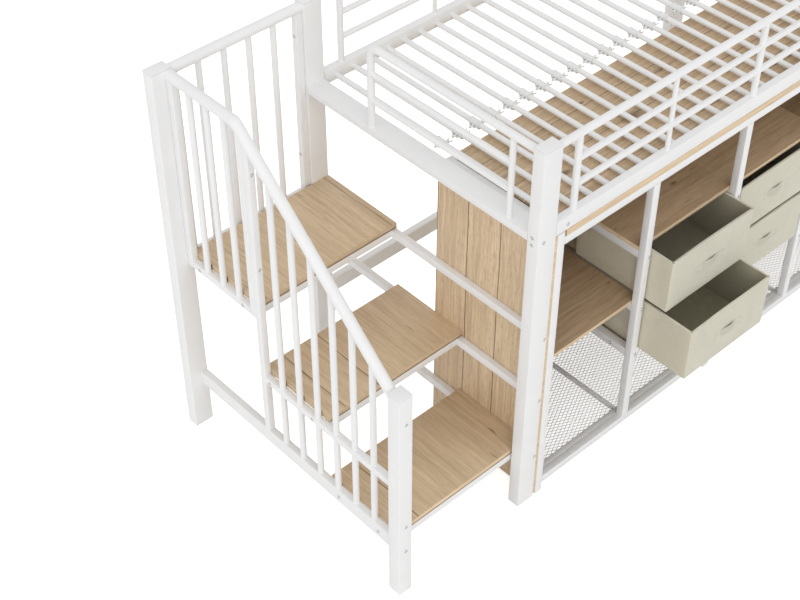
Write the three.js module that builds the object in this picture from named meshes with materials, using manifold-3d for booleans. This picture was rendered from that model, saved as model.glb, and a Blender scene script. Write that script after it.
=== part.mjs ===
// Loft bed with a side staircase, guard rails and a shelf unit with fabric drawers under its front edge.
// Units are millimetres and +Z is up. Inside the bed group X runs along the bed from the stair end, Y runs
// from the front to the back, and the corner at the front left foot is at zero. The outer group moves all
// of it so that the origin is under the middle of the whole outline, on the floor.

import * as THREE from 'three';
import { mergeVertices } from 'three/addons/utils/BufferGeometryUtils.js';
import Module from 'manifold-3d';

// Bed frame
const BED_LENGTH = 1968;
const BED_DEPTH = 1065;
const POST_WIDE = 73;
const POST_DEEP = 46;
const POST_TOP = 1486;
const RAIL_DEEP = 28;
const RAIL_TALL = 51;
const RAIL_BOTTOM = 1151;
const BACK_RAIL_INSET = 20;
const END_RAIL_TALL = 25;
const END_RAIL_TOP = 1175;
const LOWER_RAIL_BOTTOM = 243;
const LOWER_RAIL_TALL = 61;

// Slats
const SLAT_DIAMETER = 20;
const SLAT_HEIGHT = 1168.5;
const SLAT_FIRST = 124;
const SLAT_PITCH = 74.25;
const SLAT_CLEAR = 30;
const BEAM_DEEP = 12;
const BEAM_TALL = 8;
const BEAM_BITE = 4;

// Guard rails above the mattress
const GUARD_DIAMETER = 25;
const GUARD_BAR_DIAMETER = 20;
const GUARD_POST_DIAMETER = 22;
const GUARD_STRUT_DIAMETER = 16;
const GUARD_TOP_HEIGHT = POST_TOP - GUARD_DIAMETER / 2;
const GUARD_BARS = 2;
const GUARD_END_GAP = 81;
const GUARD_BAYS = 4;
const END_GUARD_X = 18.5;
const END_GUARD_DROP = 20;
const END_GUARD_NEAR_Y = 137;
const END_GUARD_FAR_Y = 732;
const END_GUARD_BEND = 42;

// Stairs
const STAIR_POST_LEFT = -570;
const NEWEL_SIZE = 52;
const NEWEL_TOP = 894;
const PANEL_LINE_X = -510;
const BACK_PANEL_INSET = 25;
const PANEL_TUBE = 25;
const HANDRAIL_DIAMETER = 36;
const HANDRAIL_DROP = 21;
const HANDRAIL_CORNER_Y = 708;
const HANDRAIL_BEND = 28;
const HANDRAIL_LOW_HEIGHT = 861;
const BALUSTER_DIAMETER = 21;
const PANEL_SPLIT_Y = 673.5;
const LOWER_BALUSTER_PITCH = 86.3;
const LOWER_BALUSTERS = 6;
const UPPER_BALUSTERS = 3;
const BACK_BALUSTERS = 4;
const MID_RAIL_TOP = 496;
const UPPER_RAIL_BOTTOM = 738.5;
const SIDE_RAIL_BOTTOM = 185;
const SIDE_RAIL_TALL = 57;
const STEP_THICK = 22;
const STEP_TOPS = [245, 518, 784];
const STEP_FRONTS = [NEWEL_SIZE, 361, 677.5];
const STEP_BACKS = [365, 672];
const STEP_TUBE = 23;
const STEP_TUBE_TALL = 28;

// Shelf unit
const BOARD_THICK = 25;
const SHELF_THICK = 15;
const PANEL_THICK = 12;
const UNIT_WIDE_TUBE = 30;
const UNIT_DEEP_TUBE = 28;
const UNIT_DEPTH = 478;
const UNIT_BOTTOM = 39;
const UNIT_TOP = 1126;
const UNIT_POST_TOP = 1148;
const OUTER_BAY = 400;
const LEVEL_TOPS = [382, 588, 819];
const SIDE_PANEL_FRONT = 3;
const SIDE_PANEL_BOTTOM = 8;
const SIDE_PANEL_TOP = 1146;
const SHELF_INSET = 0.5;
const MESH_TOP = 62;
const MESH_STRIP_THICK = 4;
const MESH_STRIP_TALL = 22;
const LADDER_BITE = 2;
const MESH_THICK = 5;
const MESH_RIM = 20;
const MESH_COLUMNS = 7;
const MESH_ROWS = 10;
const MESH_BAR = 7;

// Drawers
const DRAWER_GAP = 7;
const DRAWER_DEPTH = 400;
const DRAWER_HEIGHT = 210;
const DRAWER_WALL = 7;
const DRAWER_BOTTOMS = { lower: 378, upper: 603 };
const DRAWER_PULLED = { lower: 198, upper: 86 };
const HANDLE_WIDE = 136;
const HANDLE_TALL = 30;
const HANDLE_OUT = 10;
const HANDLE_STRAP = 4;
const HANDLE_END = 20;
const HANDLE_CENTRE = 103;
const RUNNER_THICK = 2;
const RUNNER_WIDE = 22;
const RUNNER_LEG = 24;
const RUNNER_GAP = 0.3;

const TUBE_SIDES = 12;
const SLAT_SIDES = 10;

// Places worked out from the sizes above
const bedRight = BED_LENGTH - POST_WIDE;
const backPostFront = BED_DEPTH - POST_DEEP;
const railTop = RAIL_BOTTOM + RAIL_TALL;
const endGuardTop = POST_TOP - END_GUARD_DROP;
const handrailHeight = POST_TOP - HANDRAIL_DROP;
const frontRailLine = RAIL_DEEP / 2;
const backRailFront = BED_DEPTH - BACK_RAIL_INSET - RAIL_DEEP;
const backRailLine = backRailFront + RAIL_DEEP / 2;
const backPanelLine = BED_DEPTH - BACK_PANEL_INSET;
const slatMiddle = (RAIL_DEEP + backRailFront) / 2;
const panelInner = PANEL_LINE_X + PANEL_TUBE / 2;
const stairPostRight = STAIR_POST_LEFT + POST_WIDE;
const unitLeft = POST_WIDE + PANEL_THICK;
const unitRear = UNIT_DEPTH - UNIT_DEEP_TUBE;
const unitInside = BED_LENGTH - 2 * (POST_WIDE + PANEL_THICK) - 5 * UNIT_WIDE_TUBE;
const innerBay = (unitInside - 2 * OUTER_BAY) / 2;
const bayStarts = [unitLeft + UNIT_WIDE_TUBE];
for (const width of [OUTER_BAY, innerBay, innerBay]) {
  bayStarts.push(bayStarts.at(-1) + width + UNIT_WIDE_TUBE);
}
const bayEnds = [OUTER_BAY, innerBay, innerBay, OUTER_BAY].map((width, bay) => bayStarts[bay] + width);
const dividerStarts = [unitLeft, ...bayEnds];
const unitRight = dividerStarts.at(-1) + UNIT_WIDE_TUBE;

const paint = new THREE.MeshStandardMaterial({ color: 0xe9e9e8, roughness: 0.42, metalness: 0.1 });
const wood = new THREE.MeshStandardMaterial({ color: 0xb2977a, roughness: 0.6, metalness: 0 });
const linen = new THREE.MeshStandardMaterial({ color: 0xc8c2ae, roughness: 0.9, metalness: 0 });

const part = new THREE.Group();
const bed = new THREE.Group();
const outlineFront = -(DRAWER_PULLED.lower + HANDLE_OUT);
bed.position.set(-(STAIR_POST_LEFT + BED_LENGTH) / 2, -(outlineFront + BED_DEPTH) / 2, 0);
part.add(bed);

function place(name, geometry, material) {
  geometry.computeVertexNormals();
  const mesh = new THREE.Mesh(geometry, material.clone());
  mesh.name = name;
  bed.add(mesh);
}

// Joining and cutting of closed shapes
const wasm = await Module();
wasm.setup();

function toManifold(geometry) {
  const bare = geometry.clone();
  bare.deleteAttribute('normal');
  bare.deleteAttribute('uv');
  const merged = mergeVertices(bare, 1e-4);
  const vertProperties = new Float32Array(merged.attributes.position.array);
  const triVerts = new Uint32Array(merged.index.array);
  return new wasm.Manifold(new wasm.Mesh({ numProp: 3, vertProperties, triVerts }));
}

function toGeometry(manifold) {
  const { vertProperties, triVerts } = manifold.getMesh();
  const geometry = new THREE.BufferGeometry();
  geometry.setAttribute('position', new THREE.BufferAttribute(vertProperties, 3));
  geometry.setIndex(new THREE.BufferAttribute(triVerts, 1));
  return geometry;
}

function join(shapes) {
  return toGeometry(shapes.map(toManifold).reduce((whole, shape) => whole.add(shape)));
}

function cut(shape, cutters) {
  return toGeometry(cutters.map(toManifold).reduce((whole, cutter) => whole.subtract(cutter), toManifold(shape)));
}

// A square-edged block between two corners
function block([x0, x1], [y0, y1], [z0, z1]) {
  const geometry = new THREE.BoxGeometry(x1 - x0, y1 - y0, z1 - z0);
  return geometry.translate((x0 + x1) / 2, (y0 + y1) / 2, (z0 + z1) / 2);
}

// A span of a given size whose middle is at a place
function around(middle, size) {
  return [middle - size / 2, middle + size / 2];
}

// Places of a count of things spaced evenly between two ends, with none on the ends
function spread(from, to, count) {
  return Array.from({ length: count }, (_, index) => from + ((to - from) * (index + 1)) / (count + 1));
}

// A path whose stations are used one by one, so a straight run takes a single step
class StationPath extends THREE.Curve {
  constructor(stations) {
    super();
    this.stations = stations;
  }

  getPoint(t, target = new THREE.Vector3()) {
    const last = this.stations.length - 1;
    const place = Math.min(Math.max(t, 0), 1) * last;
    const before = Math.min(Math.floor(place), last - 1);
    return target.lerpVectors(this.stations[before], this.stations[before + 1], place - before);
  }

  getUtoTmapping(u) {
    return u;
  }
}

function circleShape(diameter, sides) {
  const shape = new THREE.Shape();
  for (let side = 0; side < sides; side += 1) {
    const angle = ((side + 0.5) / sides) * 2 * Math.PI;
    const point = [Math.cos(angle) * diameter / 2, Math.sin(angle) * diameter / 2];
    if (side === 0) shape.moveTo(...point);
    else shape.lineTo(...point);
  }
  return shape;
}

// A round bar through a list of stations
function bar(diameter, stations, sides = TUBE_SIDES) {
  const extrudePath = new StationPath(stations.map((station) => new THREE.Vector3(...station)));
  return new THREE.ExtrudeGeometry(circleShape(diameter, sides), { steps: stations.length - 1, extrudePath });
}

// The stations of a bend of one radius that replaces the corner between two straight runs
function bendStations(start, corner, end, radius, steps = 6) {
  const middle = new THREE.Vector3(...corner);
  const back = new THREE.Vector3(...start).sub(middle).normalize();
  const onward = new THREE.Vector3(...end).sub(middle).normalize();
  const half = back.angleTo(onward) / 2;
  const centre = back.clone().add(onward).normalize().multiplyScalar(radius / Math.sin(half)).add(middle);
  const first = back.clone().multiplyScalar(radius / Math.tan(half)).add(middle).sub(centre);
  const last = onward.clone().multiplyScalar(radius / Math.tan(half)).add(middle).sub(centre);
  const axis = first.clone().cross(last).normalize();
  const sweep = first.angleTo(last);
  const stations = [start];
  for (let step = 0; step <= steps; step += 1) {
    stations.push(first.clone().applyAxisAngle(axis, (sweep * step) / steps).add(centre).toArray());
  }
  return [...stations, end];
}

// Posts
function postShape(xs, ys, top) {
  return block(xs, ys, [0, top]);
}

const leftPostXs = [0, POST_WIDE];
const rightPostXs = [bedRight, BED_LENGTH];
const stairPostXs = [STAIR_POST_LEFT, stairPostRight];
const frontPostYs = [0, POST_DEEP];
const backPostYs = [backPostFront, BED_DEPTH];
const newelXs = around(PANEL_LINE_X, NEWEL_SIZE);
place('post_front_left', postShape(leftPostXs, frontPostYs, POST_TOP), paint);
place('post_back_left', postShape(leftPostXs, backPostYs, POST_TOP), paint);
place('post_front_right', postShape(rightPostXs, frontPostYs, POST_TOP), paint);
place('post_back_right', postShape(rightPostXs, backPostYs, POST_TOP), paint);
place('stair_post_back', postShape(stairPostXs, backPostYs, POST_TOP), paint);
place('stair_newel', postShape(newelXs, [0, NEWEL_SIZE], NEWEL_TOP), paint);

// Rails of the bed frame
const betweenPostsX = [POST_WIDE, bedRight];
const betweenPostsY = [POST_DEEP, backPostFront];
const endRailZs = [END_RAIL_TOP - END_RAIL_TALL, END_RAIL_TOP];
const longRailZs = [RAIL_BOTTOM, railTop];
const lowerRailZs = [LOWER_RAIL_BOTTOM, LOWER_RAIL_BOTTOM + LOWER_RAIL_TALL];
place('end_rail_left', block(leftPostXs, betweenPostsY, endRailZs), paint);
place('end_rail_right', block(rightPostXs, betweenPostsY, endRailZs), paint);
place('long_rail_front', block(betweenPostsX, [0, RAIL_DEEP], longRailZs), paint);
place('long_rail_back', block(betweenPostsX, [backRailFront, backRailFront + RAIL_DEEP], longRailZs), paint);
place('lower_rail_back', block(betweenPostsX, [backPostFront, backPostFront + RAIL_DEEP], lowerRailZs), paint);
place('lower_rail_right', block(around(BED_LENGTH - POST_WIDE / 2, RAIL_DEEP), betweenPostsY, lowerRailZs), paint);

// Slats over a beam along the middle
const slatCount = Math.floor((bedRight - SLAT_CLEAR - SLAT_FIRST) / SLAT_PITCH) + 1;
const slatXs = Array.from({ length: slatCount }, (_, slat) => SLAT_FIRST + SLAT_PITCH * slat);
const slatYs = [RAIL_DEEP, backRailFront];
const beamZs = [SLAT_HEIGHT - SLAT_DIAMETER / 2 + BEAM_BITE - BEAM_TALL, SLAT_HEIGHT - SLAT_DIAMETER / 2 + BEAM_BITE];
place(
  'slat_grid',
  join([
    block(betweenPostsX, around(slatMiddle, BEAM_DEEP), beamZs),
    ...slatXs.map((x) => bar(SLAT_DIAMETER, slatYs.map((y) => [x, y, SLAT_HEIGHT]), SLAT_SIDES)),
  ]),
  paint,
);

// Guards along the two long sides
const guardReach = [POST_WIDE + GUARD_END_GAP, bedRight - GUARD_END_GAP];
const uprightXs = [guardReach[0], ...spread(guardReach[0], guardReach[1], GUARD_BAYS - 1), guardReach[1]];

function longGuardShape(y) {
  const tubes = [bar(GUARD_DIAMETER, [[POST_WIDE, y, GUARD_TOP_HEIGHT], [bedRight, y, GUARD_TOP_HEIGHT]])];
  for (const z of spread(railTop, GUARD_TOP_HEIGHT, GUARD_BARS)) {
    tubes.push(bar(GUARD_BAR_DIAMETER, [[uprightXs[0], y, z], [uprightXs.at(-1), y, z]]));
  }
  uprightXs.forEach((x, upright) => {
    const diameter = upright % 2 === 0 ? GUARD_POST_DIAMETER : GUARD_STRUT_DIAMETER;
    tubes.push(bar(diameter, [[x, y, railTop], [x, y, GUARD_TOP_HEIGHT]]));
  });
  return join(tubes);
}

place('guard_front', longGuardShape(frontRailLine), paint);
place('guard_back', longGuardShape(backRailLine), paint);

// Guards at the two ends. The left one stops short, which leaves the way in from the stairs
function endGuardBars(x, nearY, farY) {
  return spread(END_RAIL_TOP, endGuardTop, GUARD_BARS).map((z) => bar(GUARD_BAR_DIAMETER, [[x, nearY, z], [x, farY, z]]));
}

function endGuardUpright(x, y) {
  return bar(GUARD_BAR_DIAMETER, [[x, y, END_RAIL_TOP], [x, y, endGuardTop]]);
}

function loopGuardShape(x) {
  const foot = [x, END_GUARD_FAR_Y, END_RAIL_TOP];
  const corner = [x, END_GUARD_FAR_Y, endGuardTop];
  const post = [x, POST_DEEP, endGuardTop];
  const loop = bar(GUARD_DIAMETER, bendStations(foot, corner, post, END_GUARD_BEND));
  return join([loop, endGuardUpright(x, END_GUARD_NEAR_Y), ...endGuardBars(x, END_GUARD_NEAR_Y, END_GUARD_FAR_Y)]);
}

function fullGuardShape(x) {
  const farY = BED_DEPTH - END_GUARD_NEAR_Y;
  const top = bar(GUARD_DIAMETER, [[x, POST_DEEP, endGuardTop], [x, backPostFront, endGuardTop]]);
  const uprights = [endGuardUpright(x, END_GUARD_NEAR_Y), endGuardUpright(x, farY)];
  return join([top, ...uprights, ...endGuardBars(x, END_GUARD_NEAR_Y, farY)]);
}

place('guard_end_left', loopGuardShape(END_GUARD_X), paint);
place('guard_end_right', fullGuardShape(BED_LENGTH - END_GUARD_X), paint);

// Stair panels. The handrail runs level to its corner and then down to the newel
const handrailFall = (handrailHeight - HANDRAIL_LOW_HEIGHT) / (HANDRAIL_CORNER_Y - NEWEL_SIZE);

function handrailZ(y) {
  return HANDRAIL_LOW_HEIGHT + (y - NEWEL_SIZE) * handrailFall;
}

function panelTube(ys, zs) {
  return block(around(PANEL_LINE_X, PANEL_TUBE), ys, zs);
}

function baluster(x, y, zs) {
  return bar(BALUSTER_DIAMETER, zs.map((z) => [x, y, z]));
}

function backStairPanel() {
  const y = backPanelLine;
  const ys = around(y, PANEL_TUBE);
  const stiles = [[stairPostRight, stairPostRight + PANEL_TUBE], [-PANEL_TUBE, 0]];
  const railZs = [UPPER_RAIL_BOTTOM, UPPER_RAIL_BOTTOM + PANEL_TUBE];
  const shapes = [
    bar(HANDRAIL_DIAMETER, [[stairPostRight, y, handrailHeight], [0, y, handrailHeight]]),
    block([stairPostRight, 0], ys, railZs),
    ...stiles.map((xs) => block(xs, ys, [UPPER_RAIL_BOTTOM, handrailHeight])),
  ];
  const middles = stiles.map(([low, high]) => (low + high) / 2);
  for (const x of spread(middles[0], middles[1], BACK_BALUSTERS)) {
    shapes.push(baluster(x, y, [railZs[0] + PANEL_TUBE / 2, handrailHeight]));
  }
  return join(shapes);
}

function upperStairPanel() {
  const x = PANEL_LINE_X;
  const railZs = [UPPER_RAIL_BOTTOM, UPPER_RAIL_BOTTOM + PANEL_TUBE];
  const stiles = [[backPostFront - PANEL_TUBE, backPostFront], [PANEL_SPLIT_Y, PANEL_SPLIT_Y + PANEL_TUBE]];
  const start = [x, backPostFront, handrailHeight];
  const corner = [x, HANDRAIL_CORNER_Y, handrailHeight];
  const end = [x, PANEL_SPLIT_Y - HANDRAIL_BEND, handrailZ(PANEL_SPLIT_Y - HANDRAIL_BEND)];
  const beyond = block(around(x, HANDRAIL_DIAMETER * 2), [0, PANEL_SPLIT_Y], [0, handrailHeight * 2]);
  const rail = cut(bar(HANDRAIL_DIAMETER, bendStations(start, corner, end, HANDRAIL_BEND, 4)), [beyond]);
  const shapes = [
    rail,
    panelTube([PANEL_SPLIT_Y, backPostFront], railZs),
    panelTube(stiles[0], [UPPER_RAIL_BOTTOM, handrailHeight]),
    panelTube(stiles[1], [UPPER_RAIL_BOTTOM, handrailZ(PANEL_SPLIT_Y)]),
  ];
  const middles = stiles.map(([low, high]) => (low + high) / 2);
  for (const y of spread(middles[0], middles[1], UPPER_BALUSTERS)) {
    shapes.push(baluster(x, y, [railZs[0] + PANEL_TUBE / 2, handrailHeight]));
  }
  return join(shapes);
}

function lowerStairPanel() {
  const x = PANEL_LINE_X;
  const sideRailTop = SIDE_RAIL_BOTTOM + SIDE_RAIL_TALL;
  const stile = [PANEL_SPLIT_Y - PANEL_TUBE, PANEL_SPLIT_Y];
  const past = HANDRAIL_DIAMETER;
  const runs = [-past, PANEL_SPLIT_Y + past].map((y) => [x, y, handrailZ(y)]);
  const trims = [
    block(around(x, past * 2), [-past * 2, NEWEL_SIZE], [0, handrailHeight]),
    block(around(x, past * 2), [PANEL_SPLIT_Y, PANEL_SPLIT_Y + past * 2], [0, handrailHeight * 2]),
  ];
  const shapes = [
    cut(bar(HANDRAIL_DIAMETER, runs), trims),
    panelTube(stile, [sideRailTop, handrailZ(stile[0])]),
    panelTube([NEWEL_SIZE, stile[0]], [MID_RAIL_TOP - PANEL_TUBE, MID_RAIL_TOP]),
  ];
  const stileMiddle = (stile[0] + stile[1]) / 2;
  for (let index = 1; index <= LOWER_BALUSTERS; index += 1) {
    const y = stileMiddle - LOWER_BALUSTER_PITCH * index;
    shapes.push(baluster(x, y, [sideRailTop, handrailZ(y)]));
  }
  return join(shapes);
}

place('stair_guard_back', backStairPanel(), paint);
place('stair_guard_upper', upperStairPanel(), paint);
place('stair_guard_lower', lowerStairPanel(), paint);
place(
  'stair_side_rail',
  panelTube([NEWEL_SIZE, backPostFront], [SIDE_RAIL_BOTTOM, SIDE_RAIL_BOTTOM + SIDE_RAIL_TALL]),
  paint,
);

// Steps: a board on a stringer along the bed end and on two cross tubes
const stepBacks = [...STEP_BACKS, backPostFront];
const stringerXs = [POST_WIDE - STEP_TUBE, POST_WIDE];
STEP_TOPS.forEach((top, step) => {
  const under = top - STEP_THICK;
  const tubeZs = [under - STEP_TUBE_TALL, under];
  const tubeXs = [panelInner, stringerXs[0]];
  const front = STEP_FRONTS[step];
  const back = stepBacks[step];
  const number = step + 1;
  place(`step_board_${number}`, block([panelInner, POST_WIDE], [front, back], [under, top]), wood);
  place(`step_stringer_${number}`, block(stringerXs, betweenPostsY, tubeZs), paint);
  place(`step_tube_front_${number}`, block(tubeXs, [front, front + STEP_TUBE], tubeZs), paint);
  place(`step_tube_back_${number}`, block(tubeXs, [back - STEP_TUBE, back], tubeZs), paint);
});

// Frame of the shelf unit: five ladder frames from front to back, tied by long rails. The outer two hold
// the top board between them. They and the middle one stand on the floor. The other two stand on the
// bottom rails, with a thin strip low down between two pierced floors.
const unitFrontYs = [0, UNIT_DEEP_TUBE];
const unitRearYs = [unitRear, UNIT_DEPTH];
const unitBetweenYs = [UNIT_DEEP_TUBE, unitRear];
const bottomRailZs = [UNIT_BOTTOM, UNIT_BOTTOM + UNIT_WIDE_TUBE];
const topRailZs = [UNIT_TOP - UNIT_WIDE_TUBE, UNIT_TOP];
const meshStripZs = [bottomRailZs[1] + LADDER_BITE - MESH_STRIP_TALL, bottomRailZs[1] + LADDER_BITE];
const drawerBays = [1, 2];
const runnerYs = [unitBetweenYs[0] + SHELF_INSET, unitBetweenYs[1] - SHELF_INSET];
const drawerLevels = ['lower', 'upper'];

function runnerShapes(face, inward) {
  const spanX = (width) => [face, face + inward * width].sort((a, b) => a - b);
  return drawerLevels.flatMap((level) => {
    const top = DRAWER_BOTTOMS[level] - RUNNER_GAP;
    return [
      block(spanX(RUNNER_WIDE), runnerYs, [top - RUNNER_THICK, top]),
      block(spanX(RUNNER_THICK), runnerYs, [top - RUNNER_LEG, top]),
    ];
  });
}

function meshStripXs(start) {
  return around(start + UNIT_WIDE_TUBE / 2, MESH_STRIP_THICK);
}

dividerStarts.forEach((start, index) => {
  const xs = [start, start + UNIT_WIDE_TUBE];
  const onRails = index % 2 === 1;
  const outer = index === 0 || index === dividerStarts.length - 1;
  const foot = onRails ? bottomRailZs[1] : 0;
  const frontTop = outer ? UNIT_POST_TOP : topRailZs[0];
  const headTop = outer ? UNIT_TOP + BOARD_THICK : UNIT_TOP;
  const rearTop = outer ? headTop : topRailZs[0];
  const levels = onRails ? LEVEL_TOPS : [bottomRailZs[1], ...LEVEL_TOPS];
  const shapes = [block(xs, unitFrontYs, [foot, frontTop]), block(xs, unitRearYs, [foot, rearTop])];
  for (const top of levels) shapes.push(block(xs, unitBetweenYs, [top - UNIT_WIDE_TUBE, top]));
  shapes.push(block(xs, unitBetweenYs, [headTop - UNIT_WIDE_TUBE - LADDER_BITE, headTop]));
  if (onRails) shapes.push(block(meshStripXs(start), unitBetweenYs, meshStripZs));
  if (drawerBays.includes(index)) shapes.push(...runnerShapes(xs[1], 1));
  if (drawerBays.includes(index - 1)) shapes.push(...runnerShapes(xs[0], -1));
  place(`unit_divider_${index + 1}`, join(shapes), paint);
});

const bottomRailHalves = { left: [bayStarts[0], bayEnds[1]], right: [bayStarts[2], bayEnds[3]] };
for (const [row, ys] of Object.entries({ front: unitFrontYs, rear: unitRearYs })) {
  place(`unit_top_rail_${row}`, block([bayStarts[0], bayEnds[3]], ys, topRailZs), paint);
  for (const [side, xs] of Object.entries(bottomRailHalves)) {
    place(`unit_bottom_rail_${row}_${side}`, block(xs, ys, bottomRailZs), paint);
  }
}

// Boards of the shelf unit
const topBoardZs = [UNIT_TOP, UNIT_TOP + BOARD_THICK];
place('unit_top_board', block([bayStarts[0], bayEnds[3]], [0, UNIT_DEPTH], topBoardZs), wood);

const shelfYs = [UNIT_DEEP_TUBE + SHELF_INSET, unitRear - SHELF_INSET];
const shelfLevels = [1, 2, 2, 1];
shelfLevels.forEach((level, bay) => {
  const left = bay === 0 ? unitLeft : dividerStarts[bay] + UNIT_WIDE_TUBE * (bay === 2 ? 0.5 : 0) + SHELF_INSET;
  const right = bay === 3 ? unitRight : dividerStarts[bay + 1] + UNIT_WIDE_TUBE * (bay === 1 ? 0.5 : 1) - SHELF_INSET;
  const under = LEVEL_TOPS[level];
  place(`shelf_bay_${bay + 1}`, block([left, right], shelfYs, [under, under + SHELF_THICK]), wood);
});

const sidePanelYs = [SIDE_PANEL_FRONT, UNIT_DEPTH + PANEL_THICK];
const sidePanelZs = [SIDE_PANEL_BOTTOM, SIDE_PANEL_TOP];
place('side_panel_left', block([POST_WIDE, unitLeft], sidePanelYs, sidePanelZs), wood);
place('side_panel_right', block([unitRight, unitRight + PANEL_THICK], sidePanelYs, sidePanelZs), wood);
place(
  'unit_back_panel',
  block([unitLeft, unitRight], [UNIT_DEPTH, UNIT_DEPTH + PANEL_THICK], [UNIT_BOTTOM, UNIT_TOP]),
  wood,
);

// Expanded metal floors: a rim round staggered diamond openings
function meshFloorShape(width, depth) {
  const sheet = new THREE.Shape();
  sheet.moveTo(0, 0);
  sheet.lineTo(width, 0);
  sheet.lineTo(width, depth);
  sheet.lineTo(0, depth);
  const stepX = (width - MESH_RIM * 2) / MESH_COLUMNS;
  const stepY = (depth - MESH_RIM * 2) / MESH_ROWS;
  const reachX = (stepX - MESH_BAR) / 2;
  const reachY = stepY - MESH_BAR;
  for (let row = 1; row < MESH_ROWS; row += 1) {
    const shift = row % 2 === 1 ? 0 : stepX / 2;
    for (let column = 0; column < MESH_COLUMNS - (row % 2 === 1 ? 0 : 1); column += 1) {
      const x = MESH_RIM + stepX * (column + 0.5) + shift;
      const y = MESH_RIM + stepY * row;
      const hole = new THREE.Path();
      hole.moveTo(x - reachX, y);
      hole.lineTo(x, y - reachY);
      hole.lineTo(x + reachX, y);
      hole.lineTo(x, y + reachY);
      sheet.holes.push(hole);
    }
  }
  return new THREE.ExtrudeGeometry(sheet, { depth: MESH_THICK, bevelEnabled: false });
}

bayStarts.forEach((start, bay) => {
  const left = bay % 2 === 1 ? meshStripXs(dividerStarts[bay])[1] : start;
  const right = bay % 2 === 0 ? meshStripXs(dividerStarts[bay + 1])[0] : bayEnds[bay];
  const geometry = meshFloorShape(right - left, unitBetweenYs[1] - unitBetweenYs[0]);
  geometry.translate(left, unitBetweenYs[0], MESH_TOP - MESH_THICK);
  place(`mesh_floor_${bay + 1}`, join([geometry]), paint);
});

// Fabric drawers, open on top, each with a strap handle sewn on its front
function drawerShape(width) {
  const outside = block([0, width], [0, DRAWER_DEPTH], [0, DRAWER_HEIGHT]);
  const wall = DRAWER_WALL;
  const inside = block([wall, width - wall], [wall, DRAWER_DEPTH - wall], [wall, DRAWER_HEIGHT + wall]);
  return cut(outside, [inside]);
}

function handleShape() {
  const ends = [[0, HANDLE_END], [HANDLE_WIDE - HANDLE_END, HANDLE_WIDE]];
  return join([
    block([0, HANDLE_WIDE], [-HANDLE_OUT, HANDLE_STRAP - HANDLE_OUT], [0, HANDLE_TALL]),
    ...ends.map((xs) => block(xs, [-HANDLE_OUT, 0], [0, HANDLE_TALL])),
  ]);
}

for (const bay of drawerBays) {
  const side = bay === 1 ? 'left' : 'right';
  const width = bayEnds[bay] - bayStarts[bay] - DRAWER_GAP * 2;
  for (const level of drawerLevels) {
    const handle = handleShape();
    handle.translate((width - HANDLE_WIDE) / 2, 0, HANDLE_CENTRE - HANDLE_TALL / 2);
    const drawer = join([drawerShape(width), handle]);
    const pulled = bay === 1 ? DRAWER_PULLED[level] : 0;
    drawer.translate(bayStarts[bay] + DRAWER_GAP, -pulled, DRAWER_BOTTOMS[level]);
    place(`drawer_${side}_${level}`, drawer, linen);
  }
}

export default part;
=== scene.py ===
import math

import bmesh
import bpy
from mathutils import Matrix, Vector


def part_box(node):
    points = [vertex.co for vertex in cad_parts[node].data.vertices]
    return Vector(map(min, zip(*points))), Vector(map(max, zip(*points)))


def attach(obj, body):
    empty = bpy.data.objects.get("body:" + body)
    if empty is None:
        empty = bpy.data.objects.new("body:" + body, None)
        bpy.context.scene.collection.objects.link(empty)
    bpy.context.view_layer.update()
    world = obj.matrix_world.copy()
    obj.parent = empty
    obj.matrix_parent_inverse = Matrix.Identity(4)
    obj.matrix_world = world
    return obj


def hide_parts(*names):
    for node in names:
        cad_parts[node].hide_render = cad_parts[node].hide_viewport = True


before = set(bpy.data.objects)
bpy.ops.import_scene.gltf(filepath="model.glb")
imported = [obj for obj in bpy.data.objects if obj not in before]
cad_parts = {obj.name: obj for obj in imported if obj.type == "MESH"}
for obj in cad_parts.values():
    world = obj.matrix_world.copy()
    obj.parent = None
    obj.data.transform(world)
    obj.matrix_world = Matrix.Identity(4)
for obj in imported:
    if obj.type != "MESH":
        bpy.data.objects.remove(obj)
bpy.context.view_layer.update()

# A white metal loft bed with a side staircase, and a shelf unit with fabric drawers under its front edge.
# Places are in millimetres from the corner of the front left foot: along the bed, to the back, and up.

MM = 0.001
FOOT_CORNER = Vector(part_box("post_front_left")[0])

# Sizes that more than one part needs

BED_DEPTH = 1065
STEPS = (1, 2, 3)
DIVIDERS = (85, 515, 969, 1423, 1853)
DIVIDER_WIDTH = 30
BAYS = [(left + DIVIDER_WIDTH, right) for left, right in zip(DIVIDERS, DIVIDERS[1:])]
BAY_NUMBERS = range(1, len(BAYS) + 1)
UNIT_FRONT = (0, 28)
UNIT_REAR = (450, 478)
DRAWERS = [(side, level) for side in ("left", "right") for level in ("lower", "upper")]

TUBE_CORNER = 2.6
THIN_TUBE_CORNER = 2.0
POST_CORNER = 3.2
BOARD_EDGE = 1.0
ROUND_SIDES = 28
THIN_SIDES = 20
BEND_STEPS = 10
WELD_HEIGHT = 2.4
WELD_FOOT = 4.4
WELD_TIP = 0.6


def at(x, y, z):
    """A point given in millimetres from the foot corner, in metres."""
    return FOOT_CORNER + Vector((x, y, z)) * MM


def node_box(name):
    """The two corners of a solid, in millimetres from the foot corner."""
    low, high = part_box(name)
    return (Vector(low) - FOOT_CORNER) / MM, (Vector(high) - FOOT_CORNER) / MM


# Materials


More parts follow.
